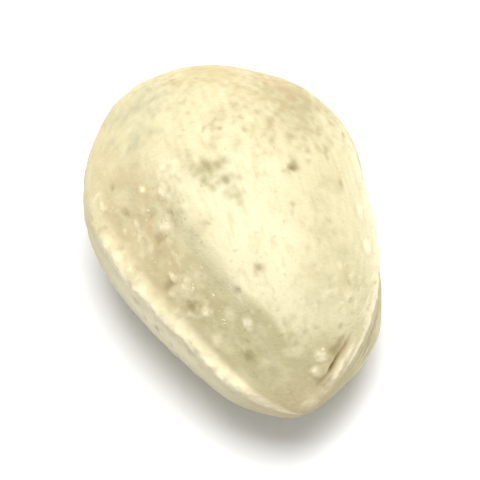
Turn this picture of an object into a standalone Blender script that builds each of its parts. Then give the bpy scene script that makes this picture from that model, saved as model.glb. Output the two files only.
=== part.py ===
"""A moringa seed: a hard, pale, nut-like shell, egg-shaped and bluntly three-sided, lying on one of its sides.

Metres, +Z up. The long axis lies along Y, with the small tip towards -Y and dipped a little. The origin is the
middle of the bottom of the seed's box, which is the level of the small flat spot that it rests on.
"""

import math
from typing import NamedTuple

import bmesh
import bpy
import numpy as np
from mathutils import Matrix

# Driving dimensions of the rounded body, in metres
LENGTH = 0.0129
WIDTH = 0.0093
HEIGHT = 0.0083

# How the body departs from an ellipsoid: fuller towards the blunt end, leaner towards the tip
FULLNESS = 0.16
FULLNESS_CURB = 0.07
BODY_SCALE = 0.99

# The centre line bows sideways: both ends lie to the left of the full right flank, in metres
BLUNT_DRIFT = 0.00040
TIP_DRIFT = 0.00025
FLANK_BOW = 0.00046
FLANK_BOW_AT = 0.80
FLANK_BOW_REACH = 0.24

# The tip is drawn out a little, over a quarter of the radius
TIP_REACH = 0.00018
TIP_BREADTH = 0.25

# How it lies: tip dipped, on a small flat spot
TIP_DIP_DEG = 4.0
FLAT_DEPTH = 0.00014
FLAT_SNAP = 0.00002

# Mesh fineness: every keel below lies on one of the meridians
SEGMENTS_AROUND = 96
SEGMENTS_ALONG = 54

# The faces' edges: how square a face is across, and how rounded its edges are
FACE_SQUARENESS = 2.2
EDGE_ROUNDING = 0.18

SHELL_COLOUR = "EFE6C2"
SHELL_ROUGHNESS = 0.75


class Lean(NamedTuple):
    """Meridians near one angle lean round the seed on their way to the tip."""

    meridian: float  # degrees round the long axis, from +X towards +Z
    reach: float  # degrees to each side
    turn: float  # degrees at the tip


class Relief(NamedTuple):
    """One rounded form along a meridian: a keel where rise is above zero, a hollow where it is below."""

    meridian: float  # degrees
    rise: float  # as a share of the body's local radius
    reach: float  # degrees to each side
    starts: float  # where it begins to show, as a share of the length from the blunt end
    full: float  # where it has its full rise
    wanes: float = 1.0  # where it starts to sink back, and where it is gone
    gone: float = 1.1


class Face(NamedTuple):
    """A flattened side between two keels, which meets them in edges."""

    near: float  # meridian of its first edge, in degrees
    far: float  # meridian of its second edge
    depth: float  # how far its middle is sunk, as a share of the body's local radius
    starts: float  # where it begins to show, as a share of the length from the blunt end
    full: float  # where it has its full depth


# The meridians of the keels
UPPER_KEEL = 123.75
SIDE_RIM = 168.75
LEFT_KEEL = 228.75
RIGHT_KEEL = -33.75
RIGHT_RIM = 22.5

LEANS = (Lean(144.0, 45.0, -22.0), Lean(228.0, 25.0, 10.0), Lean(330.0, 30.0, 18.0))

FACES = {
    "left face": Face(UPPER_KEEL, SIDE_RIM, 0.098, 0.12, 0.50),
    "left flank": Face(SIDE_RIM, LEFT_KEEL, 0.058, 0.30, 0.65),
    "right flank": Face(RIGHT_KEEL, RIGHT_RIM, 0.050, 0.30, 0.65),
}

RELIEFS = {
    "upper keel": Relief(UPPER_KEEL, 0.014, 6.0, 0.20, 0.45, 0.80, 0.96),
    "side rim": Relief(SIDE_RIM, 0.052, 6.0, 0.22, 0.55, 0.90, 0.99),
    "right rim": Relief(RIGHT_RIM, 0.016, 6.0, 0.25, 0.65, 0.92, 0.99),
    "top face": Relief(80.0, -0.030, 18.0, 0.32, 0.72),
    "right shoulder": Relief(46.0, 0.018, 12.0, 0.32, 0.72, 0.80, 0.96),
    "left keel": Relief(LEFT_KEEL, 0.030, 7.0, 0.03, 0.40),
    "underside": Relief(276.0, -0.045, 24.0, 0.05, 0.40),
    "right keel": Relief(RIGHT_KEEL, 0.045, 7.0, 0.03, 0.40),
    "blunt shoulder": Relief(140.0, 0.130, 34.0, -0.06, 0.01, 0.05, 0.14),
    "left shoulder": Relief(180.0, 0.060, 30.0, 0.02, 0.14, 0.30, 0.50),
    "left bulge": Relief(198.0, 0.062, 24.0, 0.30, 0.50, 0.90, 0.99),
    "right bulge": Relief(14.0, 0.070, 28.0, 0.04, 0.20, 0.26, 0.54),
    "right foot": Relief(-36.0, 0.060, 16.0, 0.70, 0.88, 0.93, 0.98),
}

# The brow: beyond it the surface falls to the tip
BROW_MERIDIAN = 88.0
BROW_REACH = 54.0
BROW_AT = 0.79
BROW_FALL = 0.27
BROW_ROUNDING = 0.03


def linear_colour(hex_code):
    """The linear RGBA of an sRGB hex code."""
    parts = [int(hex_code[i : i + 2], 16) / 255 for i in (0, 2, 4)]
    linear = [c / 12.92 if c <= 0.04045 else ((c + 0.055) / 1.055) ** 2.4 for c in parts]
    return (*linear, 1.0)


def smooth_step(low, high, value):
    """0 below low, 1 above high, and a smooth rise between them."""
    share = np.clip((value - low) / (high - low), 0.0, 1.0)
    return share * share * (3.0 - 2.0 * share)


def bell(distance, reach):
    """A bell curve of height 1."""
    return np.exp(-((distance / reach) ** 2))


def above_zero(value, rounding):
    """The value where it is above zero and 0 elsewhere, with the corner rounded."""
    return 0.5 * (value + np.sqrt(value**2 + rounding**2))


def turn_between(angle, centre):
    """The signed turn in degrees from centre to angle, the short way round."""
    return (angle - centre + 180.0) % 360.0 - 180.0


def form_height(meridian, share):
    """The sum of the faces, keels, hollows and brow at a meridian and a share of the length from the blunt end."""
    height = np.zeros_like(meridian)
    for face in FACES.values():
        across = turn_between(meridian, face.near) / (face.far - face.near)
        inside = above_zero(1.0 - np.abs(2.0 * across - 1.0) ** FACE_SQUARENESS, EDGE_ROUNDING)
        height -= face.depth * smooth_step(face.starts, face.full, share) * inside
    for relief in RELIEFS.values():
        fade = smooth_step(relief.starts, relief.full, share) - smooth_step(relief.wanes, relief.gone, share)
        height += relief.rise * fade * bell(turn_between(meridian, relief.meridian), relief.reach)
    beyond = above_zero(share - BROW_AT, BROW_ROUNDING) / (1.0 - BROW_AT)
    return height - BROW_FALL * beyond * bell(turn_between(meridian, BROW_MERIDIAN), BROW_REACH)


def seed_surface(unit):
    """Carries points of the unit sphere, with its poles on Y, to the seed's surface, the long axis level."""
    along = np.clip(unit[:, 1], -1.0, 1.0)
    ring = np.hypot(unit[:, 0], unit[:, 2])
    meridian = np.degrees(np.arctan2(unit[:, 2], unit[:, 0]))
    share = (1.0 - along) / 2.0
    egg = BODY_SCALE + FULLNESS * along - FULLNESS_CURB * along**3
    radius = ring * egg * (1.0 + form_height(meridian, share))
    leaned = meridian + share * sum(
        lean.turn * bell(turn_between(meridian, lean.meridian), lean.reach) for lean in LEANS
    )
    bow = FLANK_BOW * bell(share - FLANK_BOW_AT, FLANK_BOW_REACH)
    centre_x = bow - np.where(along > 0, BLUNT_DRIFT, TIP_DRIFT) * along**2
    tip = TIP_REACH * bell(ring, TIP_BREADTH) * (along < 0)
    x = centre_x + WIDTH / 2 * radius * np.cos(np.radians(leaned))
    y = LENGTH / 2 * along - tip
    z = HEIGHT / 2 * radius * np.sin(np.radians(leaned))
    return np.column_stack((x, y, z))


def read_points(mesh):
    """The mesh's vertex positions as rows."""
    points = np.empty(len(mesh.vertices) * 3, np.float32)
    mesh.vertices.foreach_get("co", points)
    return points.reshape(-1, 3).astype(np.float64)


def write_points(mesh, points):
    """Puts rows of positions back into the mesh."""
    mesh.vertices.foreach_set("co", points.astype(np.float32).ravel())
    mesh.update()


def sphere_mesh(name):
    """A unit sphere with its poles on Y: the blunt end at +Y, the tip at -Y."""
    mesh = bpy.data.meshes.new(name)
    bm = bmesh.new()
    bmesh.ops.create_uvsphere(bm, u_segments=SEGMENTS_AROUND, v_segments=SEGMENTS_ALONG, radius=1.0)
    bmesh.ops.rotate(bm, verts=bm.verts, cent=(0, 0, 0), matrix=Matrix.Rotation(math.radians(-90), 3, "X"))
    bm.to_mesh(mesh)
    bm.free()
    return mesh


def cut_flat_spot(mesh):
    """Takes FLAT_DEPTH off the bottom and closes the seed there with one level face."""
    level = read_points(mesh)[:, 2].min() + FLAT_DEPTH
    bm = bmesh.new()
    bm.from_mesh(mesh)
    everything = bm.verts[:] + bm.edges[:] + bm.faces[:]
    bmesh.ops.bisect_plane(
        bm, geom=everything, dist=FLAT_SNAP, plane_co=(0, 0, level), plane_no=(0, 0, 1), clear_inner=True
    )
    rim = [edge for edge in bm.edges if edge.is_boundary]
    for vert in {vert for edge in rim for vert in edge.verts}:
        vert.co.z = level
    spot = bmesh.ops.holes_fill(bm, edges=rim, sides=0)["faces"]
    bmesh.ops.poke(bm, faces=spot)
    bmesh.ops.recalc_face_normals(bm, faces=bm.faces[:])
    bm.to_mesh(mesh)
    bm.free()


def set_at_origin(mesh):
    """Moves the mesh so that the middle of the bottom of its box is at the origin."""
    points = read_points(mesh)
    low, high = points.min(axis=0), points.max(axis=0)
    bottom_centre = np.array([(low[0] + high[0]) / 2, (low[1] + high[1]) / 2, low[2]])
    write_points(mesh, points - bottom_centre)


def shell_material():
    """The seed's dry, matt, cream-coloured shell."""
    material = bpy.data.materials.new("seed_shell")
    material.use_nodes = True
    colour = linear_colour(SHELL_COLOUR)
    material.diffuse_color = colour
    shader = material.node_tree.nodes["Principled BSDF"]
    shader.inputs["Base Color"].default_value = colour
    shader.inputs["Roughness"].default_value = SHELL_ROUGHNESS
    shader.inputs["Metallic"].default_value = 0.0
    return material


def make_seed(collection):
    """The whole seed as one closed shell."""
    mesh = sphere_mesh("moringa_seed")
    write_points(mesh, seed_surface(read_points(mesh)))
    mesh.transform(Matrix.Rotation(math.radians(TIP_DIP_DEG), 4, "X"))
    cut_flat_spot(mesh)
    set_at_origin(mesh)
    mesh.shade_smooth()
    mesh.materials.append(shell_material())
    seed = bpy.data.objects.new("moringa_seed", mesh)
    collection.objects.link(seed)
    return seed


def main():
    for old in list(bpy.data.objects):
        bpy.data.objects.remove(old)
    collection = bpy.data.collections.new("moringa seed")
    bpy.context.scene.collection.children.link(collection)
    make_seed(collection)


main()
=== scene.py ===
"""The looks of one moringa seed: a dry, dusty, cream shell with keels, a hollow band, pits and meal.

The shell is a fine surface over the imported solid's own form, and replaces it. Lengths are in metres unless a
name says millimetres, and angles round the long axis are in degrees, from +X towards +Z. The long axis lies
along Y with the tip towards -Y.
"""

import logging
import math
from dataclasses import dataclass, field
from enum import Enum
from itertools import product

import bpy
import numpy as np
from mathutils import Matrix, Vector


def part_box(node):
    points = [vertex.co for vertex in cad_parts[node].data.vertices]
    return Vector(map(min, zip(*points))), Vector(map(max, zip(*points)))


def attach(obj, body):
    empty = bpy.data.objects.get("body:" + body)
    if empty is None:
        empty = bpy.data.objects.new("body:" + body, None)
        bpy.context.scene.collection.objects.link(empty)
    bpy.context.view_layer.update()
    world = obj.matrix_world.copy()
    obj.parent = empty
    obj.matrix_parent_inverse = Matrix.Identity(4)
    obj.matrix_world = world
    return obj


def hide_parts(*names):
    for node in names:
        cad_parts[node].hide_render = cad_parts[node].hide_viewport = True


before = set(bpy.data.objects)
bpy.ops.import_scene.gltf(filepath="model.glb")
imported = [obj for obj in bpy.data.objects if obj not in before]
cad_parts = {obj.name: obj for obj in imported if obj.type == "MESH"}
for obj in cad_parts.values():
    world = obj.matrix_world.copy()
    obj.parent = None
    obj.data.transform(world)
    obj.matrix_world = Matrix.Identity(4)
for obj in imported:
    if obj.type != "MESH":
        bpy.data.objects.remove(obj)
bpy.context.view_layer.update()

MM = 0.001
NODE = "moringa_seed"
BODY = "root"

log = logging.getLogger("moringa_seed")


class Mask(Enum):
    """The shell's painted-on shares, each kept on the mesh as one value for each point, from 0 to 1."""

    # Pale where the shell is rubbed, and painted light: a highlight by the upper keel and light on the shaded
    # left flank.
    RUBBED_AND_LIGHT = "rubbed_pale_and_painted_light"
    # Olive stain, and painted shade that the seed behind casts on the blunt end and the upper right.
    OLIVE_AND_SHADE = "olive_stain_and_painted_shade"
    # Tan stain, and painted shade at the blunt end under the seed behind.
    TAN = "tan_stain_and_painted_shade"
    DUST = "grey_dust"
    # Pale meal, and painted light on the side rim and the shaded flank outside it.
    MEAL_AND_LIGHT = "pale_meal_and_painted_light"
    GROOVE = "groove_shade"


# Curves, noise and grids


def smooth_step(low: float, high: float, value: np.ndarray) -> np.ndarray:
    """Rises from 0 to 1 as value goes from low to high: 3s^2 - 2s^3, with s the share of the way."""
    share = np.clip((value - low) / (high - low), 0.0, 1.0)
    return share * share * (3.0 - 2.0 * share)


def bell(distance: np.ndarray, reach: float) -> np.ndarray:
    """A bell curve of height 1: e to the power of minus the square of distance over reach."""
    return np.exp(-((distance / reach) ** 2))


def above_zero(value: np.ndarray, rounding: float) -> np.ndarray:
    """The value where it is above zero, else 0, with a rounded corner: half of v + sqrt(v^2 + r^2)."""
    return 0.5 * (value + np.sqrt(value**2 + rounding**2))


def turn_between(angle: np.ndarray, centre: float) -> np.ndarray:
    """The signed turn in degrees from centre to angle, the short way round."""
    return (angle - centre + 180.0) % 360.0 - 180.0


@dataclass(frozen=True)
class Lumps:
    """Smooth random lumps in space, the same on each run.

    Attributes:
        size: the distance from lump to lump, in metres.
        seed: which random pattern.
    """

    size: float
    seed: int

    DIRECTIONS = 4096
    PRIMES = (73856093, 19349663, 83492791)

    def at(self, points: np.ndarray) -> np.ndarray:
        """Gradient noise: each corner of a cubic lattice holds a random direction, and a point adds up the
        directions' dot products with its offsets from its cell's 8 corners, blended by 6s^5 - 15s^4 + 10s^3.

        Args:
            points: positions, with x, y and z along the last axis.

        Returns:
            One value for each point, about -0.6 to 0.6, without the last axis.
        """
        random = np.random.default_rng(self.seed)
        directions = random.normal(size=(self.DIRECTIONS, 3))
        directions /= np.linalg.norm(directions, axis=1, keepdims=True)
        scaled = points / self.size
        cell = np.floor(scaled).astype(np.int64)
        local = scaled - cell
        blend = local**3 * (local * (local * 6.0 - 15.0) + 10.0)
        total = np.zeros(points.shape[:-1])
        for corner in product((0, 1), repeat=3):
            key = (cell + corner) * self.PRIMES
            index = (key[..., 0] ^ key[..., 1] ^ key[..., 2]) % self.DIRECTIONS
            weight = np.prod(np.where(corner, blend, 1.0 - blend), axis=-1)
            total += weight * np.sum(directions[index] * (local - corner), axis=-1)
        return total


def ball_angles(columns: int, rows: int) -> tuple[np.ndarray, np.ndarray]:
    """Spreads points over a ball: one pole, rings of points, and the other pole.

    Args:
        columns: points in each ring.
        rows: rings between the poles.

    Returns:
        Each point's turn round the axis in degrees, and its angle from the first pole in radians.
    """
    turn, polar = np.meshgrid(
        np.arange(columns) * (360.0 / columns), np.linspace(0.0, math.pi, rows + 2)[1:-1]
    )
    turn = np.concatenate(((0.0,), turn.ravel(), (0.0,)))
    polar = np.concatenate(((0.0,), polar.ravel(), (math.pi,)))
    return turn, polar


def ball_faces(columns: int, rows: int, balls: int = 1, flipped: bool = False) -> list[list[int]]:
    """Joins the points of such balls by quads between the rings and a fan of triangles at each pole.

    Args:
        columns: points in each ring.
        rows: rings between the poles.
        balls: how many balls there are.
        flipped: whether a face's corners run the other way round, as they do for an axis along Z.

    Returns:
        Each face's corners, from its first one round, so that all faces look outwards.
    """
    first = 1 + np.arange(rows)[:, None] * columns + np.arange(columns)
    after = np.roll(first, -1, axis=1)
    last = 1 + rows * columns
    quads = np.stack((first[:-1], after[:-1], after[1:], first[1:]), axis=-1).reshape(-1, 4)
    start = np.stack((np.zeros(columns, int), after[0], first[0]), axis=-1)
    end = np.stack((np.full(columns, last), first[-1], after[-1]), axis=-1)
    shift = np.arange(balls)[:, None, None] * (last + 1)
    faces = []
    for group in (quads, start, end):
        if flipped:
            group = np.roll(group[:, ::-1], 1, axis=1)
        faces += (group + shift).reshape(-1, group.shape[1]).tolist()
    return faces


# The seed's own form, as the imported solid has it. Meridians run from the blunt end to the tip.


@dataclass(frozen=True)
class Lean:
    """The meridians within reach of one of them turn by so many degrees on their way to the tip."""

    meridian: float
    reach: float
    turn: float


@dataclass(frozen=True)
class Relief:
    """One rounded form along a meridian: a keel where its rise is above zero, a hollow where it is below.

    The rise is a share of the body's local radius, and the reach to each side is in degrees. The form starts, is
    full, wanes and is gone at shares of the length from the blunt end.
    """

    meridian: float
    rise: float
    reach: float
    starts: float
    full: float
    wanes: float = 1.0
    gone: float = 1.1

    def strength(self, share: np.ndarray) -> np.ndarray:
        """How much of its rise it has at a share of the length, from 0 to 1."""
        return smooth_step(self.starts, self.full, share) - smooth_step(self.wanes, self.gone, share)

    def height(self, meridian: np.ndarray, share: np.ndarray) -> np.ndarray:
        """A bell across it, faded in and out along it, as a share of the radius."""
        return self.rise * self.strength(share) * bell(turn_between(meridian, self.meridian), self.reach)


@dataclass(frozen=True)
class Facet:
    """A flattened side between the meridians of two keels, which meets them in edges.

    Its middle's depth is a share of the body's local radius. It starts and is full at shares of the length.
    """

    near: float
    far: float
    depth: float
    starts: float
    full: float

    SQUARENESS = 2.2
    EDGE_ROUNDING = 0.18

    def across(self, meridian: np.ndarray) -> np.ndarray:
        """The share of the way from the near edge to the far one."""
        return turn_between(meridian, self.near) / (self.far - self.near)

    def inside(self, meridian: np.ndarray) -> np.ndarray:
        """1 in its middle and 0 outside: 1 - |2t - 1|^q for a share t across it, with rounded corners."""
        arch = 1.0 - np.abs(2.0 * self.across(meridian) - 1.0) ** self.SQUARENESS
        return above_zero(arch, self.EDGE_ROUNDING)

    def strength(self, share: np.ndarray) -> np.ndarray:
        """How much of its depth it has at a share of the length, from 0 to 1."""
        return smooth_step(self.starts, self.full, share)

    def height(self, meridian: np.ndarray, share: np.ndarray) -> np.ndarray:
        """Its sinking at a place, as a share of the radius."""
        return -self.depth * self.strength(share) * self.inside(meridian)


@dataclass(frozen=True)
class Brow:
    """A fall of the surface towards the tip, which starts at a rounded edge across the seed.

    The edge has a reach in degrees to each side of its meridian. The fall at the tip is a share of the radius.
    """

    meridian: float
    reach: float
    starts: float
    fall: float
    rounding: float

    def height(self, meridian: np.ndarray, share: np.ndarray) -> np.ndarray:
        """A straight fall beyond the edge, fading to both sides as a bell."""
        beyond = above_zero(share - self.starts, self.rounding) / (1.0 - self.starts)
        return -self.fall * beyond * bell(turn_between(meridian, self.meridian), self.reach)


UPPER_KEEL = 123.75
SIDE_RIM = 168.75
LEFT_KEEL = 228.75
UNDERSIDE = 276.0
RIGHT_KEEL = -33.75
RIGHT_RIM = 22.5


def body_forms() -> dict[str, Relief | Facet | Brow]:
    """The three-sided body's faces, keels and rims, and its lopsided shoulders, bulges, foot and brow."""
    return {
        "left face": Facet(UPPER_KEEL, SIDE_RIM, 0.098, 0.12, 0.50),
        "left flank": Facet(SIDE_RIM, LEFT_KEEL, 0.058, 0.30, 0.65),
        "right flank": Facet(RIGHT_KEEL, RIGHT_RIM, 0.050, 0.30, 0.65),
        "upper keel": Relief(UPPER_KEEL, 0.014, 6.0, 0.20, 0.45, 0.80, 0.96),
        "side rim": Relief(SIDE_RIM, 0.052, 6.0, 0.22, 0.55, 0.90, 0.99),
        "right rim": Relief(RIGHT_RIM, 0.016, 6.0, 0.25, 0.65, 0.92, 0.99),
        "top face": Relief(80.0, -0.030, 18.0, 0.32, 0.72),
        "right shoulder": Relief(46.0, 0.018, 12.0, 0.32, 0.72, 0.80, 0.96),
        "left keel": Relief(LEFT_KEEL, 0.030, 7.0, 0.03, 0.40),
        "underside": Relief(UNDERSIDE, -0.045, 24.0, 0.05, 0.40),
        "right keel": Relief(RIGHT_KEEL, 0.045, 7.0, 0.03, 0.40),
        "blunt shoulder": Relief(140.0, 0.130, 34.0, -0.06, 0.01, 0.05, 0.14),
        "left shoulder": Relief(180.0, 0.060, 30.0, 0.02, 0.14, 0.30, 0.50),
        "left bulge": Relief(198.0, 0.062, 24.0, 0.30, 0.50, 0.90, 0.99),
        "right bulge": Relief(14.0, 0.070, 28.0, 0.04, 0.20, 0.26, 0.54),
        "right foot": Relief(-36.0, 0.060, 16.0, 0.70, 0.88, 0.93, 0.98),
        "tip brow": Brow(88.0, 54.0, 0.79, 0.27, 0.03),
    }


@dataclass
class SeedBody:
    """The egg-shaped, bluntly three-sided body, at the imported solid's size and place."""

    length: float = 12.9 * MM
    width: float = 9.3 * MM
    height: float = 8.3 * MM
    fullness: float = 0.16
    fullness_curb: float = 0.07
    body_scale: float = 0.99
    blunt_drift: float = 0.40 * MM
    tip_drift: float = 0.25 * MM
    flank_bow: float = 0.46 * MM
    flank_bow_at: float = 0.80
    flank_bow_reach: float = 0.24
    tip_reach: float = 0.18 * MM
    tip_breadth: float = 0.25
    tip_dip_deg: float = 4.0
    flat_depth: float = 0.14 * MM
    leans: tuple[Lean, ...] = (Lean(144.0, 45.0, -22.0), Lean(228.0, 25.0, 10.0), Lean(330.0, 30.0, 18.0))
    forms: dict[str, Relief | Facet | Brow] = field(default_factory=body_forms)
    place: np.ndarray = field(default_factory=lambda: np.zeros(3))

    def relief(self, meridian: np.ndarray, share: np.ndarray) -> np.ndarray:
        """The sum of the forms' heights at a place, as a share of the radius."""
        return sum(form.height(meridian, share) for form in self.forms.values())

    def egg(self, along: np.ndarray) -> np.ndarray:
        """The egg factor: b + f t - c t^3 at t along the axis, from -1 at the tip to 1 at the blunt end."""
        return self.body_scale + self.fullness * along - self.fullness_curb * along**3

    def surface(self, meridian: np.ndarray, polar: np.ndarray) -> np.ndarray:
        """An egg: at a polar angle p from the blunt end, y is half the length times cos p, and the radius is
        sin p times the egg factor times 1 plus the forms' heights. Meridians turn by their lean times the share
        of the length. The centre line drifts left at both ends and bows right before the tip. The whole is
        dipped at the tip and moved to its place.

        Args:
            meridian: degrees round the long axis at the blunt end.
            polar: radians from the blunt end, of the same shape.

        Returns:
            Positions in metres, with x, y and z along a new last axis.
        """
        along = np.cos(polar)
        ring = np.sin(polar)
        share = (1.0 - along) / 2.0
        radius = ring * self.egg(along) * (1.0 + self.relief(meridian, share))
        leaned = meridian + share * sum(
            lean.turn * bell(turn_between(meridian, lean.meridian), lean.reach) for lean in self.leans
        )
        bow = self.flank_bow * bell(share - self.flank_bow_at, self.flank_bow_reach)
        drift = np.where(along > 0, self.blunt_drift, self.tip_drift) * along**2
        x = bow - drift + self.width / 2 * radius * np.cos(np.radians(leaned))
        y = self.length / 2 * along - self.tip_reach * bell(ring, self.tip_breadth) * (along < 0)
        z = self.height / 2 * radius * np.sin(np.radians(leaned))
        dip = math.radians(self.tip_dip_deg)
        dipped_y = y * math.cos(dip) - z * math.sin(dip)
        dipped_z = y * math.sin(dip) + z * math.cos(dip)
        return np.stack((x, dipped_y, dipped_z), axis=-1) + self.place

    def spot(self, meridian: float, share: float) -> np.ndarray:
        """The body's point on a meridian at a share of the length."""
        return self.surface(np.array(meridian), np.array(math.acos(1.0 - 2.0 * share)))

    def settle(self, low: Vector, high: Vector) -> None:
        """Sets the body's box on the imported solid's, with the flat spot's level at the box's bottom.

        Args:
            low: the solid's lowest corner.
            high: its highest corner.
        """
        self.place = np.zeros(3)
        meridian, polar = np.meshgrid(np.arange(0.0, 360.0, 1.0), np.linspace(0.0, math.pi, 361))
        points = self.surface(meridian, polar).reshape(-1, 3)
        lowest, highest = points.min(axis=0), points.max(axis=0)
        self.place = np.array((low + high) / 2) - (lowest + highest) / 2
        self.place[2] = low.z - (lowest[2] + self.flat_depth)


# Marks on the shell


@dataclass(frozen=True)
class Mark:
    """A small round mark on the shell, at a meridian in degrees and a share of the length."""

    meridian: float
    share: float
    radius: float


@dataclass(frozen=True)
class Pit(Mark):
    """A pin-prick or small gouge, with painted shade of 0 to 1 in it, kept as its stain."""

    depth: float
    stain: float


@dataclass(frozen=True)
class Knob(Mark):
    """A lump of dried meal that has grown into the shell, height metres high."""

    height: float


@dataclass(frozen=True)
class Smear(Mark):
    """A soft patch of stain, dust, meal, painted shade or painted light, without relief, in an amount of 0 to 1.
    """

    amount: float
    mask: Mask


@dataclass
class Skin:
    """The shell while it is being marked, with one value for each point.

    The meridian is in degrees, the share is of the length, the points are places on the bare body, and the lift
    is the shell's height over that body.
    """

    body: SeedBody
    meridian: np.ndarray
    share: np.ndarray
    points: np.ndarray
    lift: np.ndarray
    masks: dict[Mask, np.ndarray]

    def paint(self, mask: Mask, amount: np.ndarray) -> None:
        """Raises a mask to an amount where it is lower."""
        self.masks[mask] = np.maximum(self.masks[mask], np.clip(amount, 0.0, 1.0))

    def near(self, meridian: float, reach: float, share: float, spread: float) -> np.ndarray:
        """A soft patch round one place: a bell round the seed times a bell along it."""
        return bell(turn_between(self.meridian, meridian), reach) * bell(self.share - share, spread)

    def away(self, mark: Mark) -> np.ndarray:
        """How far each point of the bare body lies from a mark's middle, in metres."""
        return np.linalg.norm(self.points - self.body.spot(mark.meridian, mark.share), axis=-1)

    def lumps(self, size_mm: float, seed: int, squeeze: float = 1.0) -> np.ndarray:
        """Random lumps on the bare body, drawn out along the seed where squeeze is under 1."""
        return Lumps(size_mm * MM, seed).at(self.points * (1.0, squeeze, 1.0))


def seen_pits() -> tuple[Pit, ...]:
    """The pits and dents that show from above. Each row has a meridian, a share of the length, a radius and a
    depth in millimetres, and a stain, which is the painted shade in the pit."""
    rows = (
        (66.0, 0.456, 0.15, 0.080, 0.80), (106.0, 0.687, 0.13, 0.055, 0.55), (109.0, 0.692, 0.09, 0.035, 0.40),
        (78.0, 0.255, 0.20, 0.030, 0.15), (104.4, 0.388, 0.22, 0.045, 0.22), (98.4, 0.442, 0.16, 0.035, 0.18),
        # From (148.4, 0.499) on, the pits lie on the shaded side of knobs in the left face, and their dark is
        # also the knobs' painted shadow.
        (96.8, 0.494, 0.12, 0.030, 0.15), (148.4, 0.499, 0.19, 0.070, 0.45), (159.2, 0.619, 0.18, 0.060, 0.55),
        (157.6, 0.692, 0.20, 0.070, 0.60), (150.0, 0.864, 0.20, 0.055, 0.50),
        (155.2, 0.396, 0.15, 0.040, 0.40), (144.8, 0.436, 0.14, 0.040, 0.40),
    )
    return tuple(
        Pit(meridian, share, radius * MM, depth * MM, stain)
        for meridian, share, radius, depth, stain in rows
    )


def seen_knobs() -> tuple[Knob, ...]:
    """The pale lumps that show from above: along the side rim, in the left face, at the tip and on the right.
    Each row has a meridian, a share of the length, and a radius and a height in millimetres."""
    rows = (
        (167.2, 0.433, 0.20, 0.04), (167.2, 0.489, 0.23, 0.06), (166.0, 0.538, 0.16, 0.04),
        (167.4, 0.601, 0.25, 0.07), (167.8, 0.662, 0.28, 0.07), (140.0, 0.482, 0.27, 0.08),
        (130.6, 0.400, 0.21, 0.03), (141.2, 0.365, 0.15, 0.03), (153.2, 0.640, 0.30, 0.09),
        (153.2, 0.717, 0.26, 0.08), (133.7, 0.790, 0.23, 0.06), (68.5, 0.912, 0.26, 0.06),
        (73.4, 0.942, 0.20, 0.04), (34.8, 0.593, 0.24, 0.03), (34.0, 0.680, 0.25, 0.03),
    )
    return tuple(Knob(meridian, share, size * MM, height * MM) for meridian, share, size, height in rows)


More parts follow.
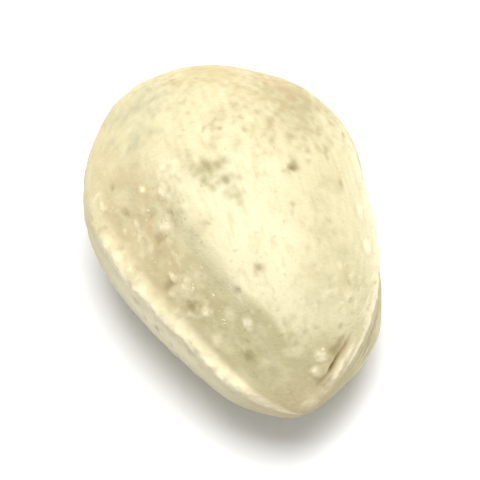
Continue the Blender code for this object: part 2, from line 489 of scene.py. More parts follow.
def seen_smears() -> tuple[Smear, ...]:
    """The smears that show from above. Each group has what it is painted with and a row for each smear: its
    meridian, its share of the length, its radius in millimetres and its amount."""
    groups = {
        "the smudge on the top face": (Mask.OLIVE_AND_SHADE, (
            (107.2, 0.393, 0.34, 1.00), (103.6, 0.400, 0.32, 0.95), (110.4, 0.376, 0.27, 0.75),
            (99.4, 0.398, 0.28, 0.95), (95.6, 0.390, 0.22, 0.75), (97.6, 0.338, 0.26, 0.45),
            (102.0, 0.424, 0.23, 0.65), (98.6, 0.441, 0.28, 0.90), (102.4, 0.446, 0.18, 0.50),
            (97.2, 0.469, 0.19, 0.70), (96.6, 0.493, 0.25, 0.85), (112.4, 0.450, 0.20, 0.40),
            (108.6, 0.419, 0.24, 0.90), (106.5, 0.450, 0.18, 0.60), (98.0, 0.513, 0.20, 0.60),
            (110.0, 0.343, 0.24, 0.50), (103.6, 0.415, 0.22, 0.55), (100.5, 0.480, 0.24, 0.50),
            (87.2, 0.355, 0.30, 0.40), (86.5, 0.262, 0.26, 0.40),
        )),
        # Partly olive stain and partly painted shade that the seed behind casts on the blunt end and the upper
        # right.
        "stains and painted shade towards the blunt end": (Mask.OLIVE_AND_SHADE, (
            (41.1, 0.245, 1.60, 1.00), (47.0, 0.280, 1.10, 0.95), (57.0, 0.215, 1.00, 0.50),
            (69.0, 0.110, 1.00, 0.40), (76.8, 0.100, 0.90, 0.40), (126.0, 0.228, 0.48, 0.35),
        )),
        "spots on the right of the top face": (Mask.OLIVE_AND_SHADE, (
            (62.4, 0.630, 0.34, 0.60), (53.2, 0.764, 0.46, 0.55), (50.4, 0.515, 0.38, 0.50),
            (54.0, 0.700, 0.55, 0.40), (59.0, 0.560, 0.40, 0.35), (68.0, 0.765, 0.80, 0.35),
        )),
        "spots in the left face and on its edge": (Mask.OLIVE_AND_SHADE, (
            (116.0, 0.800, 0.45, 0.30), (134.0, 0.468, 0.52, 1.00), (148.0, 0.575, 0.40, 0.80),
            (128.0, 0.538, 0.36, 0.50), (129.0, 0.805, 0.28, 0.50), (141.8, 0.439, 0.35, 0.50),
        )),
        "spots at the tip": (Mask.OLIVE_AND_SHADE, ((50.2, 0.914, 0.50, 1.00), (97.0, 0.876, 0.56, 0.95))),
        "dust at the upper left and in the left face": (Mask.DUST, (
            (118.8, 0.112, 0.75, 1.00), (136.8, 0.198, 0.80, 0.80), (128.0, 0.150, 1.20, 0.75),
            (134.8, 0.233, 0.55, 0.80), (150.8, 0.515, 0.46, 0.34), (146.5, 0.602, 0.50, 0.26),
        )),
        "tan and painted shade at the blunt end, and tan round three pits": (Mask.TAN, (
            # The first three are partly tan stain and partly painted shade of the seed behind, at the blunt end.
            (50.0, 0.165, 1.50, 1.00), (82.4, 0.065, 1.30, 1.00), (66.0, 0.095, 1.30, 1.00),
            (107.5, 0.690, 0.30, 0.45), (139.6, 0.385, 0.70, 1.00), (159.2, 0.619, 0.45, 1.00),
        )),
        "shade by the slit, at the upper right and in the left face": (Mask.GROOVE, (
            (51.1, 0.917, 0.36, 0.42), (56.8, 0.963, 0.30, 0.45), (46.0, 0.235, 0.90, 0.19),
            (58.0, 0.313, 0.55, 0.12), (143.6, 0.436, 0.28, 0.24), (155.0, 0.535, 0.38, 0.18),
            (169.2, 0.710, 0.45, 0.18),
        )),
        "meal at the tip and in the left face": (Mask.MEAL_AND_LIGHT, (
            (34.7, 0.979, 0.36, 0.38), (60.5, 0.993, 0.38, 0.36), (155.8, 0.650, 0.32, 0.40),
            (143.0, 0.637, 0.36, 0.35), (141.6, 0.476, 0.34, 0.55), (160.0, 0.795, 0.40, 0.40),
        )),
        "rubbed spots and a painted highlight above and beside the smudge, and below it at the keel": (Mask.RUBBED_AND_LIGHT, (
            (97.5, 0.284, 0.50, 0.80), (111.2, 0.278, 0.40, 0.60), (75.5, 0.290, 0.50, 0.50),
            # The first spot on this line is a painted highlight on the keel, where the face tilts away from the
            # light.
            (121.6, 0.352, 0.60, 0.95), (112.0, 0.708, 1.00, 0.85),
        )),
    }
    return tuple(
        Smear(meridian, share, radius_mm * MM, amount, mask)
        for mask, rows in groups.values()
        for meridian, share, radius_mm, amount in rows
    )


@dataclass(frozen=True)
class Patch:
    """A broad tone with soft edges, in an even part and a part that noise breaks up.

    It has a reach in degrees to each side of its meridian, and a spread to each side of its share of the length.
    """

    mask: Mask
    meridian: float
    reach: float
    share: float
    spread: float
    amount: float
    even: float = 0.6
    broken: float = 0.6


def seen_patches() -> tuple[Patch, ...]:
    """The rubbed top face and right rim, painted light along the left outline, the left face's tan, and the meal
    by the side rim, partly painted light.
    """
    return (
        Patch(Mask.RUBBED_AND_LIGHT, 98.0, 32.0, 0.55, 0.32, 1.00),
        # Painted light on the left flank, which turns away from the lamp.
        Patch(Mask.RUBBED_AND_LIGHT, 185.0, 17.0, 0.70, 0.30, 0.55),
        Patch(Mask.RUBBED_AND_LIGHT, 22.0, 14.0, 0.58, 0.24, 0.80),
        Patch(Mask.TAN, 154.0, 20.0, 0.36, 0.17, 1.00, even=0.5),
        Patch(Mask.TAN, 152.0, 13.0, 0.50, 0.16, 1.00, even=0.7),
        Patch(Mask.MEAL_AND_LIGHT, 167.0, 6.0, 0.905, 0.035, 1.00, even=1.0, broken=0.0),
        # Pale meal and painted light on the flank outside the side rim.
        Patch(Mask.MEAL_AND_LIGHT, 181.0, 11.0, 0.67, 0.25, 0.90, even=1.0, broken=0.0),
    )


@dataclass(frozen=True)
class Crease:
    """A narrow slit with a pale, flat strip beside it, from one meridian and share of the length to another.

    The slit has a half width, a depth and painted shade of 0 to 1 in it, kept as its stain, and the strip a
    height and a gap from the slit, which is below zero on the other side.
    """

    start: tuple[float, float]
    end: tuple[float, float]
    half_width: float
    depth: float
    strip: float
    strip_gap: float
    stain: float

    WANDER = 0.13 * MM
    REACH = 1.2 * MM

    def mark(self, skin: Skin) -> None:
        """Sinks a wandering furrow of bell shape, which comes and goes along its run, and raises the strip.

        Args:
            skin: the shell, changed in place.
        """
        start, end = skin.body.spot(*self.start), skin.body.spot(*self.end)
        length = np.linalg.norm(end - start)
        run = (end - start) / length
        outward = (start + end) / 2 - skin.body.place
        side = np.cross(run, outward)
        side /= np.linalg.norm(side)
        offset = skin.points - start
        along = offset @ run / length
        across = offset @ side + self.WANDER * skin.lumps(0.7, 9)
        near = bell(offset @ np.cross(side, run), self.REACH)
        fade = smooth_step(-0.12, 0.30, along) * (1.0 - smooth_step(0.60, 1.12, along)) * near
        uneven = np.clip(0.75 + 1.5 * skin.lumps(0.45, 10), 0.2, 1.2)
        furrow = fade * uneven * bell(across, self.half_width * (0.7 + 0.5 * uneven))
        strip = fade * bell(across - self.strip_gap, 0.45 * self.strip_gap)
        skin.lift += self.strip * strip * uneven - self.depth * furrow
        skin.paint(Mask.GROOVE, self.stain * furrow)
        skin.paint(Mask.TAN, 0.7 * fade * bell(across, 3.0 * self.half_width))
        skin.paint(Mask.MEAL_AND_LIGHT, strip)


@dataclass(frozen=True)
class RibRow:
    """A row of grooves along the seed, with low ribs between them: the turn in degrees from a meridian to its
    first groove and from groove to groove, and how many there are."""

    meridian: float
    first: float
    spacing: float
    count: int


@dataclass
class SeedShell:
    """The hard shell: the body with all its marks, as one closed skin.

    Attributes:
        columns: points round the long axis.
        rows: rings of points between the two ends.
        slit: the short slit at the tip's right.
        rib_rows: the ribbed stretches beside the two lower keels and along the underside.
        strewn: how many pits are strewn over the rest.
        seed: for the strewn pits and the ribs.
        wobble_deg: how far the keels waver.
        sway_deg: how far the upper keel sways to the right above the tip.
        sway_place: where it sways most and how far to each side, as shares of the length.
        rounding: height of the fill at the upper keel's left side.
        swell: height of the broad unevenness, with ripple for the middling one and grain for the fine one.
        fibre: height of the strands along the seed.
        caked: height of the caked meal's lumps.
        bead: height of the side rim's knobs, with bead_grain for the finest ones.
        right_bead: height of the right rim's knobs.
        rim_groove: depth of the groove along the side rim's inner edge.
        rib: depth of the grooves between the ribs.
        scar: depth of the scar at the blunt end.
        puckers: how many puckers run out from the scar.
    """

    body: SeedBody
    columns: int = 448
    rows: int = 214
    pits: tuple[Pit, ...] = field(default_factory=seen_pits)
    knobs: tuple[Knob, ...] = field(default_factory=seen_knobs)
    smears: tuple[Smear, ...] = field(default_factory=seen_smears)
    patches: tuple[Patch, ...] = field(default_factory=seen_patches)
    slit: Crease = Crease((39.9, 0.887), (64.3, 0.974), 0.070 * MM, 0.095 * MM, 0.026 * MM, -0.32 * MM, 1.0)
    rib_rows: tuple[RibRow, ...] = (
        RibRow(RIGHT_KEEL, 7.5, 5.5, 5),
        RibRow(LEFT_KEEL, -7.0, -6.0, 4),
        RibRow(UNDERSIDE, -16.0, 10.0, 4),
    )
    strewn: int = 40
    seed: int = 11
    wobble_deg: float = 4.0
    sway_deg: float = 3.0
    sway_place: tuple[float, float] = (0.80, 0.08)
    rounding: float = 0.060 * MM
    swell: float = 0.050 * MM
    ripple: float = 0.022 * MM
    grain: float = 0.013 * MM
    fibre: float = 0.018 * MM
    caked: float = 0.034 * MM
    bead: float = 0.034 * MM
    bead_grain: float = 0.011 * MM
    right_bead: float = 0.022 * MM
    rim_groove: float = 0.020 * MM
    rib: float = 0.055 * MM
    scar: float = 0.050 * MM
    scar_place: Mark = Mark(0.0, 0.0, 0.55 * MM)
    puckers: int = 9

    def waver(self, skin: Skin) -> None:
        """Makes the keels and edges waver: adds the difference between the forms at a shifted meridian and at
        the true one, times the local radius.

        Args:
            skin: the shell, changed in place.
        """
        shift = self.wobble_deg * (skin.lumps(2.0, 13) + 0.35 * skin.lumps(0.7, 14))
        shift += self.sway_deg * skin.near(UPPER_KEEL, 14.0, *self.sway_place)
        along = 1.0 - 2.0 * skin.share
        radius = self.body.height / 2 * np.sqrt(1.0 - along**2) * self.body.egg(along)
        moved = self.body.relief(skin.meridian + shift, skin.share)
        skin.lift += radius * (moved - self.body.relief(skin.meridian, skin.share))

    def round_keel(self, skin: Skin) -> None:
        """Rounds the upper keel: fills the left face right beside it and takes a little off its crest.

        Args:
            skin: the shell, changed in place.
        """
        keel = UPPER_KEEL - self.sway_deg * skin.near(UPPER_KEEL, 30.0, *self.sway_place)
        from_keel = turn_between(skin.meridian, keel)
        strength = self.body.forms["left face"].strength(skin.share)
        strength *= 1.0 - smooth_step(0.88, 0.97, skin.share)
        fill, trim = bell(from_keel - 7.0, 5.5), bell(from_keel + 1.5, 4.5)
        skin.lift += self.rounding * strength * (fill - 0.45 * trim)

    def roughen(self, skin: Skin) -> None:
        """Adds the uneven skin: broad swells, ripples, two sizes of mealy grain, and strands along the seed,
        which are strongest in the left face.

        Args:
            skin: the shell, changed in place.
        """
        skin.lift += self.swell * skin.lumps(2.6, 1)
        skin.lift += self.ripple * skin.lumps(1.0, 2)
        skin.lift += self.grain * (skin.lumps(0.34, 3) + 0.7 * skin.lumps(0.18, 4))
        side = 0.35 + 1.2 * self.body.forms["left face"].inside(skin.meridian)
        skin.lift += self.fibre * skin.lumps(0.40, 21, squeeze=0.16) * side

    def stain(self, skin: Skin) -> None:
        """Paints the broad tones: the patches, some of them painted light, the olive of the left face, the olive
        of the tip, which starts sooner beside the keel, the tan of the very tip and thin clouds of dust.

        Args:
            skin: the shell, changed in place.
        """
        broken = 0.75 + 0.7 * skin.lumps(1.3, 61)
        for patch in self.patches:
            near = skin.near(patch.meridian, patch.reach, patch.share, patch.spread)
            skin.paint(patch.mask, patch.amount * near * (patch.even + patch.broken * broken))
        across = self.body.forms["left face"].across(skin.meridian)
        in_left = smooth_step(-0.08, 0.42, across) * (1.0 - smooth_step(0.84, 0.97, across))
        skin.paint(Mask.OLIVE_AND_SHADE, in_left * smooth_step(0.34, 0.70, skin.share) * (0.62 + 0.50 * broken))
        starts = 0.880 - 0.05 * broken - 0.135 * smooth_step(99.0, 128.0, skin.meridian)
        tip = smooth_step(0.0, 0.075, skin.share - starts)
        skin.paint(Mask.OLIVE_AND_SHADE, tip * bell(turn_between(skin.meridian, 100.0), 62.0))
        skin.paint(Mask.TAN, 0.75 * smooth_step(0.90, 0.99, skin.share))
        cloud = smooth_step(0.12, 0.42, skin.lumps(3.1, 71)) * (1.0 - skin.near(85.0, 40.0, 0.5, 0.35))
        skin.paint(Mask.DUST, 0.5 * cloud * (0.55 + 0.9 * skin.lumps(0.45, 72)))

    def smear(self, skin: Skin) -> None:
        """Paints each smear as a bell, with its outline made ragged and its tone flecked by small lumps.

        Args:
            skin: the shell, changed in place.
        """
        ragged = 1.0 + 0.8 * skin.lumps(0.55, 73) + 1.1 * skin.lumps(0.24, 74)
        flecked = np.clip(1.0 + 1.1 * skin.lumps(0.26, 75), 0.4, 1.2)
        for smear in self.smears:
            skin.paint(smear.mask, smear.amount * flecked * bell(skin.away(smear) * ragged, smear.radius))

    def cake_meal(self, skin: Skin) -> None:
        """Raises lumps of caked meal where noise passes a threshold, in the left face's hollow, on the rims and
        in patches off the top face. Paints them pale, and the small dents between them dark.

        Args:
            skin: the shell, changed in place.
        """
        left, side, right = (self.body.forms[name] for name in ("left face", "side rim", "right rim"))
        valley = bell(left.across(skin.meridian) - 0.62, 0.24) * smooth_step(0.34, 0.46, skin.share)
        valley *= 1.0 - 0.85 * smooth_step(0.70, 0.82, skin.share)
        rims = sum(rim.height(skin.meridian, skin.share) / rim.rise for rim in (side, right))
        off_top = 1.0 - 0.95 * skin.near(90.0, 38.0, 0.43, 0.34)
        patches = smooth_step(0.14, 0.34, skin.lumps(2.3, 32)) * off_top
        where = np.clip(0.8 * (valley + rims + patches), 0.0, 1.0)
        coarse = smooth_step(0.14, 0.36, skin.lumps(0.40, 33))
        fine = smooth_step(0.14, 0.34, skin.lumps(0.24, 34))
        dents = smooth_step(0.16, 0.40, skin.lumps(0.36, 35))
        skin.lift += self.caked * where * (coarse + 0.45 * fine - 0.5 * dents)
        skin.paint(Mask.MEAL_AND_LIGHT, where * (0.62 * coarse + 0.38 * fine))
        skin.paint(Mask.GROOVE, 0.30 * where * dents)

    def raise_beads(self, skin: Skin) -> None:
        """Makes both rims knobbly and pale with meal, less so towards the tip, and sinks a thin groove along
        the side rim's inner edge.

        Args:
            skin: the shell, changed in place.
        """
        side, right = self.body.forms["side rim"], self.body.forms["right rim"]
        on_side, from_side = side.strength(skin.share), turn_between(skin.meridian, side.meridian)
        on_right, from_right = right.strength(skin.share), turn_between(skin.meridian, right.meridian)
        crumbly = 1.0 - 0.8 * smooth_step(0.62, 0.76, skin.share)
        knobs = 1.0 + crumbly * (1.4 * skin.lumps(0.85, 31) + 1.2 * skin.lumps(0.34, 37))
        groove = on_side * bell(from_side + 6.4, 1.7)
        skin.lift += self.bead * knobs * on_side * bell(from_side - 1.5, 4.4)
        skin.lift += self.bead_grain * skin.lumps(0.19, 39) * on_side * bell(from_side, 6.0)
        skin.lift += self.right_bead * knobs * on_right * bell(from_right, 3.4)
        skin.lift -= self.rim_groove * groove
        skin.paint(Mask.GROOVE, 0.20 * groove)
        uneven = 0.90 + 0.9 * crumbly * skin.lumps(0.50, 36) + 0.5 * skin.lumps(0.21, 38)
        # The side rim's meal is partly painted light on the rim and the flank outside it.
        caked = smooth_step(0.30, 0.50, skin.share) * bell(from_side - 1.5, 6.5)
        skin.paint(Mask.MEAL_AND_LIGHT, caked * uneven)
        skin.paint(Mask.MEAL_AND_LIGHT, 0.8 * on_right * bell(from_right, 4.0))

    def cut_ribs(self, skin: Skin) -> None:
        """Cuts each row's grooves and raises low ribs between them. A row's grooves wander together and a
        little on their own, and each comes and goes along the seed.

        Args:
            skin: the shell, changed in place.
        """
        random = np.random.default_rng(self.seed + 5)
        for number, row in enumerate(self.rib_rows):
            from_row = turn_between(skin.meridian, row.meridian) + 4.0 * skin.lumps(2.6, 41 + number)
            for i in range(row.count):
                seed = 100 + 10 * number + i
                width, strength = random.uniform(0.9, 2.0), random.uniform(0.5, 1.15)
                place = row.first + row.spacing * (i + random.uniform(-0.25, 0.25))
                across = from_row - place + 2.4 * skin.lumps(0.9, seed)
                comes = smooth_step(-0.30, 0.15, skin.lumps(1.5, seed + 50, squeeze=0.35))
                fade = smooth_step(0.08 + 0.06 * i, 0.34 + 0.06 * i, skin.share)
                fade = np.clip(fade - smooth_step(0.84, 0.98, skin.share), 0.0, 1.0) * comes * strength
                groove = fade * bell(across, width)
                rib = fade * bell(across - row.spacing / 2, 1.4 * width)
                skin.lift += self.rib * (0.5 * rib - groove)
                skin.paint(Mask.GROOVE, 0.75 * groove)
                skin.paint(Mask.TAN, 0.6 * fade * bell(across, 2.2 * width))

    def mark_blunt_end(self, skin: Skin) -> None:
        """Sinks the scar where the seed was joined to its pod: an uneven dent with a ragged, broken lip, and
        puckers that run out from it.

        Args:
            skin: the shell, changed in place.
        """
        uneven = 1.0 + 0.55 * skin.lumps(1.2, 51) + 0.35 * skin.lumps(0.45, 52)
        from_pole = skin.away(self.scar_place) * uneven
        dent = bell(from_pole, self.scar_place.radius)
        broken = smooth_step(-0.15, 0.30, skin.lumps(0.8, 53))
        lip = broken * bell(from_pole - 0.85 * MM, 0.20 * MM)
        turn = np.radians(self.puckers * skin.meridian) + 7.0 * skin.lumps(1.0, 54)
        puckers = np.cos(turn) * smooth_step(0.5 * MM, 1.0 * MM, from_pole) * bell(from_pole, 2.1 * MM)
        skin.lift += self.scar * (0.6 * lip - dent + 0.30 * puckers)
        skin.paint(Mask.TAN, 0.8 * bell(from_pole, 0.80 * MM))
        skin.paint(Mask.GROOVE, 0.45 * bell(from_pole, 0.24 * MM))
        skin.paint(Mask.GROOVE, 0.20 * np.clip(-puckers, 0.0, 1.0))

    def strewn_pits(self) -> list[Pit]:
        """Small pits at random over the whole shell, most of them tiny, with less painted shade on the bright
        top face.
        """
        random = np.random.default_rng(self.seed)
        meridians = random.uniform(0.0, 360.0, self.strewn)
        shares = random.uniform(0.05, 0.95, self.strewn)
        radii = (0.06 + 0.10 * random.random(self.strewn) ** 2) * MM
        pits = []
        for meridian, share, radius in zip(meridians, shares, radii):
            on_top_face = 50.0 < meridian < 120.0 and 0.15 < share < 0.85
            pits.append(Pit(meridian, share, radius, radius * 0.35, 0.15 if on_top_face else 0.45))
        return pits

    def sink_pits(self, skin: Skin) -> None:
        """Sinks each pit: a hole of bell shape with a faint lip at 1.7 radii, made uneven by small lumps.

        Args:
            skin: the shell, changed in place.
        """
        rough = 1.0 + 1.1 * skin.lumps(0.22, 5)
        for pit in (*self.pits, *self.strewn_pits()):
            away = skin.away(pit) * rough
            hole = bell(away, pit.radius)
            lip = bell(away - 1.7 * pit.radius, 0.5 * pit.radius)
            skin.lift += pit.depth * (0.16 * lip - hole)
            skin.paint(Mask.GROOVE, pit.stain * hole)

    def raise_knobs(self, skin: Skin) -> None:
        """Raises each knob: a low dome that falls to nothing at 1.4 radii, with its outline and its top broken
        by small lumps, and a faint shade round its foot.

        Args:
            skin: the shell, changed in place.
        """
        rough = 1.0 + 1.35 * skin.lumps(0.42, 6) + 0.6 * skin.lumps(0.18, 7)
        top = 0.85 + 1.1 * skin.lumps(0.17, 8)
        for knob in self.knobs:
            away = skin.away(knob) / knob.radius
            dome = 1.0 - smooth_step(0.0, 1.4, away * np.clip(rough, 0.5, 2.2))
            skin.lift += knob.height * dome * top
            skin.paint(Mask.MEAL_AND_LIGHT, 0.85 * dome * top)
            skin.paint(Mask.GROOVE, 0.09 * bell(away - 1.4, 0.4))

    def build(self, material: bpy.types.Material) -> bpy.types.Object:
        """Makes the shell's mesh, marks and paints it, and puts it in the scene.

        Args:
            material: the dry shell's.

        Returns:
            The object, at the origin, with its place in its mesh.
        """
        meridian, polar = ball_angles(self.columns, self.rows)
        points = self.body.surface(meridian, polar)
        mesh = bpy.data.meshes.new("seed_shell")
        mesh.from_pydata(points.tolist(), [], ball_faces(self.columns, self.rows))
        normals = np.empty(len(points) * 3, np.float32)
        mesh.vertex_normals.foreach_get("vector", normals)
        normals = normals.reshape(-1, 3).astype(float)
        masks = {mask: np.zeros(len(points)) for mask in Mask}
        share = (1.0 - np.cos(polar)) / 2.0
        skin = Skin(self.body, meridian, share, points, np.zeros(len(points)), masks)
        for step in (
            self.waver, self.round_keel, self.roughen, self.stain, self.smear, self.cake_meal, self.raise_beads,
            self.cut_ribs, self.mark_blunt_end, self.sink_pits, self.raise_knobs, self.slit.mark,
        ):
            step(skin)
        points = points + normals * skin.lift[:, None]
        points[:, 2] = np.maximum(points[:, 2], 0.0)
        mesh.vertices.foreach_set("co", points.astype(np.float32).ravel())
        for mask, values in skin.masks.items():
            attribute = mesh.attributes.new(mask.value, "FLOAT", "POINT")
            attribute.data.foreach_set("value", values.astype(np.float32))
        mesh.shade_smooth()
        mesh.materials.append(material)
        mesh.update()
        return put_in_scene("seed_shell", mesh)


@dataclass
class ClingingMeal:
    """Crumbs of dry seed meal stuck to the shell, as one mesh of many small uneven chips.

    Attributes:
        count: how many fine ones are strewn.
        columns: points round each crumb.
        rows: rings on each crumb between its poles.
        least: radius of the smallest, in metres.
        spread: how much larger the largest are, in metres.
        shares: the stretch of the length where they are strewn.
        dent: how uneven their skin is, as a share of the radius.
        stretch: the least and the most that a crumb is stretched along an axis of its own.
        flattening: how much of its height a crumb loses.
        sunk: how deep it may sit in the shell, as a share of its radius.
    """

    body: SeedBody
    count: int = 60
    columns: int = 7
    rows: int = 4
    seed: int = 23
    least: float = 0.030 * MM
    spread: float = 0.060 * MM
    shares: tuple[float, float] = (0.36, 0.84)
    dent: float = 0.30
    stretch: tuple[float, float] = (0.5, 1.35)
    flattening: float = 0.66
    sunk: float = 0.12

    LODGED = ((150.0, 12.0), (150.0, 9.0), (RIGHT_KEEL, 14.0), (LEFT_KEEL, 12.0), (RIGHT_RIM - 18.0, 8.0))
    OUTLINE, CLEAR = 182.0, 14.0
    SEEN_MM = (
        (146.0, 0.560, 0.080),
        (148.0, 0.760, 0.060),
        (150.5, 0.655, 0.085),
        (66.8, 0.905, 0.080),
    )

    def places(self) -> tuple[np.ndarray, np.ndarray, np.ndarray]:
        """Places the seen crumbs, then the strewn ones, each round one of the lodging meridians with their
        reach, but not within CLEAR degrees of the outline at the left.

        Returns:
            The meridian, the share of the length and the radius of every crumb.
        """
        random = np.random.default_rng(self.seed)
        seen = np.array(self.SEEN_MM)
        share = random.uniform(*self.shares, self.count)
        meridian = np.empty(self.count)
        for i, (centre, reach) in enumerate(self.LODGED):
            some = slice(i, None, len(self.LODGED))
            meridian[some] = centre + random.normal(0.0, reach, len(meridian[some]))
        radius = self.least + self.spread * random.random(self.count) ** 3
        keep = np.abs(turn_between(meridian, self.OUTLINE)) > self.CLEAR
        return (
            np.concatenate((seen[:, 0], meridian[keep])),
            np.concatenate((seen[:, 1], share[keep])),
            np.concatenate((seen[:, 2] * MM, radius[keep])),
        )

    def build(self, shell: bpy.types.Object, material: bpy.types.Material) -> bpy.types.Object:
        """Repeats a unit ball for each crumb: dented, stretched and turned at random, scaled to its radius,
        flattened against the nearest point of the shell and set a little way into it.

        Args:
            shell: the dressed shell that they stick to.
            material: the dry meal's.

        Returns:
            The object, at the origin, with its place in its mesh.
        """
        random = np.random.default_rng(self.seed + 1)
        meridian, share, radius = self.places()
        bare = self.body.surface(meridian, np.arccos(1.0 - 2.0 * share))
        bpy.context.view_layer.update()
        nearest = [shell.closest_point_on_mesh(Vector(place)) for place in bare]
        centre = np.array([place for _, place, _, _ in nearest])
        outward = np.array([normal for _, _, normal, _ in nearest])

        turn, polar = ball_angles(self.columns, self.rows)
        turn = np.radians(turn)
        unit = np.stack((np.sin(polar) * np.cos(turn), np.sin(polar) * np.sin(turn), np.cos(polar)), axis=-1)
        crumbs = len(radius)
        spin = np.linalg.qr(random.normal(size=(crumbs, 3, 3)))[0]
        spin[np.linalg.det(spin) < 0, :, 0] *= -1
        dents = 1.0 + random.uniform(-self.dent, self.dent, size=(crumbs, len(unit), 1))
        stretch = random.uniform(*self.stretch, size=(crumbs, 1, 3))
        chips = np.einsum("cij,cpj->cpi", spin, unit * dents * stretch) * radius[:, None, None]
        height = np.einsum("cpi,ci->cp", chips, outward)
        chips -= self.flattening * height[:, :, None] * outward[:, None, :]
        centre = centre + outward * (radius * random.uniform(-self.sunk, 0.0, crumbs))[:, None]
        points = (centre[:, None, :] + chips).reshape(-1, 3)
        points[:, 2] = np.maximum(points[:, 2], 0.0)
        mesh = bpy.data.meshes.new("clinging_meal")
        mesh.from_pydata(points.tolist(), [], ball_faces(self.columns, self.rows, crumbs, flipped=True))
        mesh.materials.append(material)
        return put_in_scene("clinging_meal", mesh)


# Finishes

# The Mix node's colour sockets: its two inputs and its output
MIX_BELOW, MIX_ABOVE, MIX_COLOUR = 6, 7, 2


def linear_colour(hex_code: str) -> tuple[float, float, float, float]:
    """Turns an sRGB hex code into linear RGBA, as the shader's sockets take it.

    Args:
        hex_code: six hex digits.

    Returns:
        Red, green, blue and an alpha of 1.
    """
    parts = [int(hex_code[i : i + 2], 16) / 255 for i in (0, 2, 4)]
    linear = [c / 12.92 if c <= 0.04045 else ((c + 0.055) / 1.055) ** 2.4 for c in parts]
    return (*linear, 1.0)


def per_metre(millimetres: float) -> float:
    """A texture's scale for a pattern that repeats about every so many millimetres."""
    return 1.0 / (millimetres * MM)


def new_material(name: str, roughness: float, specular: float) -> tuple[bpy.types.Material, bpy.types.Node]:
    """Makes a material whose Principled shader has a roughness and a specular level.

    Args:
        name: the material's name.
        roughness: from 0 to 1.
        specular: from 0 to 1.

    Returns:
        The material and its shader.
    """
    material = bpy.data.materials.new(name)
    material.use_nodes = True
    shader = material.node_tree.nodes["Principled BSDF"]
    shader.inputs["Roughness"].default_value = roughness
    shader.inputs["Specular IOR Level"].default_value = specular
    return material, shader


def add_node(
    tree: bpy.types.NodeTree, kind: str, inputs: dict | None = None, **settings: object
) -> bpy.types.Node:
    """Adds a node with its settings, values and links.

    Args:
        tree: the material's node tree.
        kind: the node's type name, without its leading ShaderNode.
        inputs: for each input, by name or number, an output socket to link or a value to set.
        settings: the node's own properties.

    Returns:
        The node.
    """
    node = tree.nodes.new("ShaderNode" + kind)
    for name, value in settings.items():
        setattr(node, name, value)
    for name, value in (inputs or {}).items():
        if isinstance(value, bpy.types.NodeSocket):
            tree.links.new(value, node.inputs[name])
        else:
            node.inputs[name].default_value = value
    return node


@dataclass(frozen=True)
class Pattern:
    """A noise with lumps of a size across the seed, stretched along it, and with finer detail on them."""

    size_mm: float
    detail: float
    stretch: float = 1.0


@dataclass(frozen=True)
class Layer:
    """One colour that lies over those below it.

    Attributes:
        colour: as an sRGB hex code.
        pattern: the name of the noise that breaks its edges.
        low: the noise's value where it begins.
        high: the noise's value where it is full.
        most: how much it covers there, from 0 to 1.
        mask: the painted share that it keeps to, or None where the noise alone places it.
    """

    colour: str
    pattern: str
    low: float
    high: float
    most: float
    mask: Mask | None = None


def shell_patterns() -> dict[str, Pattern]:
    """The shell's noises. The finest, a real grain of about 0.05 mm, is drawn twice as coarse to show."""
    return {
        "patch": Pattern(2.4, 3.0),
        "mottle": Pattern(0.7, 4.0),
        "strand": Pattern(0.20, 3.0, 7.0),
        "speck": Pattern(0.24, 2.0),
        "grain": Pattern(0.11, 3.0),
    }


def shell_layers() -> tuple[Layer, ...]:
    """The shell's colours over its clean cream, from the lowest up."""
    return (
        Layer("D1C59A", "patch", 0.40, 0.66, 0.80),
        # Rubbed pale, and painted light by the upper keel and on the left flank
        Layer("EAE3C1", "mottle", 0.10, 0.35, 1.00, Mask.RUBBED_AND_LIGHT),
        Layer("C6BA8D", "strand", 0.50, 0.80, 0.45),
        Layer("E3DCBE", "strand", 0.48, 0.25, 0.35),
        # Olive stain, and painted shade at the blunt end and the upper right
        Layer("B9B086", "mottle", 0.15, 0.50, 1.00, Mask.OLIVE_AND_SHADE),
        # Tan stain, and painted shade at the blunt end
        Layer("C9B68B", "mottle", 0.25, 0.60, 1.00, Mask.TAN),
        Layer("B9B594", "mottle", 0.30, 0.62, 1.00, Mask.DUST),
        # Pale meal, and painted light on the side rim and the flank outside it
        Layer("F7ECCA", "mottle", 0.20, 0.48, 0.95, Mask.MEAL_AND_LIGHT),
        Layer("867243", "speck", 0.66, 0.80, 0.28),
        Layer("867243", "grain", 0.00, 0.10, 1.00, Mask.GROOVE),
    )


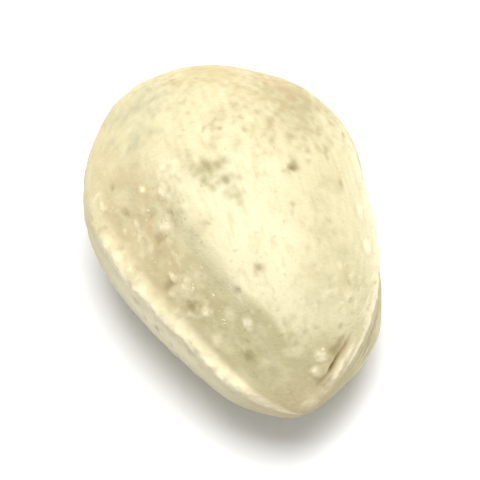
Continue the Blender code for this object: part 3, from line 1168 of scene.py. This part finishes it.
@dataclass(frozen=True)
class DryShellFinish:
    """Dry, woody seed coat with a rubbed, mealy surface: chalk-dull with no highlight of its own, cream where
    clean, paler where rubbed and with painted light, tan where stained, painted shade in its grooves, greyish
    under dust."""

    name: str = "dry_seed_shell"
    clean: str = "D6CDA6"
    patterns: dict[str, Pattern] = field(default_factory=shell_patterns)
    layers: tuple[Layer, ...] = field(default_factory=shell_layers)
    roughness: float = 0.85
    diffuse_roughness: float = 0.7
    specular: float = 0.20
    bumps: tuple[tuple[str, float], ...] = (
        ("grain", 0.045 * MM),
        ("strand", 0.030 * MM),
        ("mottle", 0.045 * MM),
    )
    bump_strength: float = 0.7

    def material(self) -> bpy.types.Material:
        """Lays each layer's colour over the one below by its noise times its painted share, and adds up the
        bumps from the finest to the coarsest. The noises read the object's own coordinates.

        Returns:
            The shell's material.
        """
        material, shader = new_material(self.name, self.roughness, self.specular)
        shader.inputs["Diffuse Roughness"].default_value = self.diffuse_roughness
        tree = material.node_tree
        place = add_node(tree, "TexCoord").outputs["Object"]
        noise = {}
        for name, pattern in self.patterns.items():
            values = {"Vector": place, "Scale": (1.0, 1.0 / pattern.stretch, 1.0)}
            drawn_out = add_node(tree, "Mapping", values).outputs["Vector"]
            values = {"Vector": drawn_out, "Scale": per_metre(pattern.size_mm), "Detail": pattern.detail}
            noise[name] = add_node(tree, "TexNoise", values).outputs["Fac"]
        colour = linear_colour(self.clean)
        for layer in self.layers:
            values = {"Value": noise[layer.pattern], "From Min": layer.low, "From Max": layer.high}
            amount = add_node(tree, "MapRange", {**values, "To Max": layer.most}).outputs["Result"]
            if layer.mask:
                painted = add_node(tree, "Attribute", attribute_name=layer.mask.value).outputs["Fac"]
                amount = add_node(tree, "Math", {0: amount, 1: painted}, operation="MULTIPLY").outputs[0]
            values = {"Factor": amount, MIX_BELOW: colour, MIX_ABOVE: linear_colour(layer.colour)}
            colour = add_node(tree, "Mix", values, data_type="RGBA").outputs[MIX_COLOUR]
        tree.links.new(colour, shader.inputs["Base Color"])
        normal = {}
        for name, height in self.bumps:
            values = {"Height": noise[name], "Distance": height, "Strength": self.bump_strength, **normal}
            normal = {"Normal": add_node(tree, "Bump", values).outputs["Normal"]}
        tree.links.new(normal["Normal"], shader.inputs["Normal"])
        return material


@dataclass(frozen=True)
class DryMealFinish:
    """Crumbs of dried seed pulp: paler than the shell, quite matt, like flour that has caked."""

    name: str = "dry_seed_meal"
    pale: str = "DAD0AE"
    toned: str = "C6BA90"
    roughness: float = 0.9
    specular: float = 0.2
    mottle_mm: float = 0.5
    low: float = 0.4
    high: float = 0.6

    def material(self) -> bpy.types.Material:
        """Mixes the two creams from crumb to crumb by a noise a little larger than a crumb."""
        material, shader = new_material(self.name, self.roughness, self.specular)
        tree = material.node_tree
        place = add_node(tree, "TexCoord").outputs["Object"]
        values = {"Vector": place, "Scale": per_metre(self.mottle_mm)}
        mottle = add_node(tree, "TexNoise", values).outputs["Fac"]
        values = {"Value": mottle, "From Min": self.low, "From Max": self.high}
        blend = add_node(tree, "MapRange", values).outputs["Result"]
        values = {"Factor": blend, MIX_BELOW: linear_colour(self.pale), MIX_ABOVE: linear_colour(self.toned)}
        mixed = add_node(tree, "Mix", values, data_type="RGBA").outputs[MIX_COLOUR]
        tree.links.new(mixed, shader.inputs["Base Color"])
        return material


# Studio


def put_in_scene(name: str, data: bpy.types.ID) -> bpy.types.Object:
    """Makes an object and links it to the scene.

    Args:
        name: the object's name.
        data: its mesh, lamp or camera.

    Returns:
        The object.
    """
    made = bpy.data.objects.new(name, data)
    bpy.context.scene.collection.objects.link(made)
    return made


def aim(
    thing: bpy.types.Object, target: Vector, azimuth_deg: float, elevation_deg: float, distance: float
) -> None:
    """Stands a lamp or camera at a distance from the target and turns it there.

    Args:
        thing: the lamp or camera.
        target: the point that it looks at.
        azimuth_deg: where it stands round the target, 0 towards -Y and 90 towards +X.
        elevation_deg: how high it stands above the floor.
        distance: from the target, in metres.
    """
    azimuth, elevation = math.radians(azimuth_deg), math.radians(elevation_deg)
    flat = math.cos(elevation)
    direction = Vector((math.sin(azimuth) * flat, -math.cos(azimuth) * flat, math.sin(elevation)))
    thing.location = target + direction * distance
    thing.rotation_euler = direction.to_track_quat("Z", "Y").to_euler()


@dataclass(frozen=True)
class Lamp:
    """One square soft lamp with a side in metres, aimed at the seed from a distance."""

    name: str
    azimuth_deg: float
    elevation_deg: float
    distance: float
    side: float
    watts: float

    def place(self, target: Vector) -> None:
        """Puts the lamp up.

        Args:
            target: the point that its face looks at.
        """
        data = bpy.data.lights.new(self.name, "AREA")
        data.shape = "SQUARE"
        data.size = self.side
        data.energy = self.watts
        aim(put_in_scene(self.name, data), target, self.azimuth_deg, self.elevation_deg, self.distance)


@dataclass
class Studio:
    """A white floor, a soft lamp, an even sky and the camera at the photograph's angle."""

    azimuth_deg: float = -19.0
    elevation_deg: float = 65.0
    distance: float = 0.20
    frame_height: float = 16.4 * MM
    sensor: float = 36.0
    nearest: float = 0.01
    floor_side: float = 3.0
    floor_drop: float = 0.02 * MM
    floor_colour: str = "FAFAFA"
    floor_roughness: float = 0.7
    floor_specular: float = 0.1
    sky_colour: str = "F3F7FF"
    sky_strength: float = 0.46
    lamp: Lamp = Lamp("key_lamp", 160.0, 84.0, 0.30, 0.18, 1.09)

    def build(self, target: Vector) -> None:
        """Lays the floor and sets up the light and the camera.

        Args:
            target: the point that the lamp and the camera look at.
        """
        self.lay_floor()
        self.lamp.place(target)
        self.light_sky()
        self.place_camera(target)
        bpy.context.scene.view_settings.view_transform = "Standard"

    def lay_floor(self) -> None:
        """Lays one large flat square just under the seed."""
        half = self.floor_side / 2
        corners = [(-half, -half), (half, -half), (half, half), (-half, half)]
        mesh = bpy.data.meshes.new("floor")
        mesh.from_pydata([(x, y, -self.floor_drop) for x, y in corners], [], [(0, 1, 2, 3)])
        material, shader = new_material("white_card", self.floor_roughness, self.floor_specular)
        shader.inputs["Base Color"].default_value = linear_colour(self.floor_colour)
        mesh.materials.append(material)
        put_in_scene("floor", mesh)

    def light_sky(self) -> None:
        """Gives the room its even white light."""
        world = bpy.data.worlds.new("studio_white")
        world.use_nodes = True
        background = world.node_tree.nodes["Background"]
        background.inputs["Color"].default_value = linear_colour(self.sky_colour)
        background.inputs["Strength"].default_value = self.sky_strength
        bpy.context.scene.world = world

    def place_camera(self, target: Vector) -> None:
        """Aims a long lens, whose square picture is frame_height high at the target's distance.

        Args:
            target: the point that it looks at.
        """
        data = bpy.data.cameras.new("camera")
        data.sensor_width = self.sensor
        data.lens = self.sensor * self.distance / self.frame_height
        data.clip_start = self.nearest
        camera = put_in_scene("camera", data)
        aim(camera, target, self.azimuth_deg, self.elevation_deg, self.distance)
        bpy.context.scene.camera = camera


def main() -> None:
    """Builds the seed's pieces in order, then the studio, and reports each."""
    logging.basicConfig(level=logging.INFO, format="%(name)s: %(message)s")
    low, high = (Vector(corner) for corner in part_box(NODE))
    body = SeedBody()
    body.settle(low, high)
    shell = SeedShell(body).build(DryShellFinish().material())
    meal = ClingingMeal(body).build(shell, DryMealFinish().material())
    for piece in (shell, meal):
        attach(piece, BODY)
        log.info("%s: %d faces", piece.name, len(piece.data.polygons))
    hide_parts(NODE)
    Studio().build((low + high) / 2)
    log.info("studio set up")


if __name__ == "__main__":
    main()
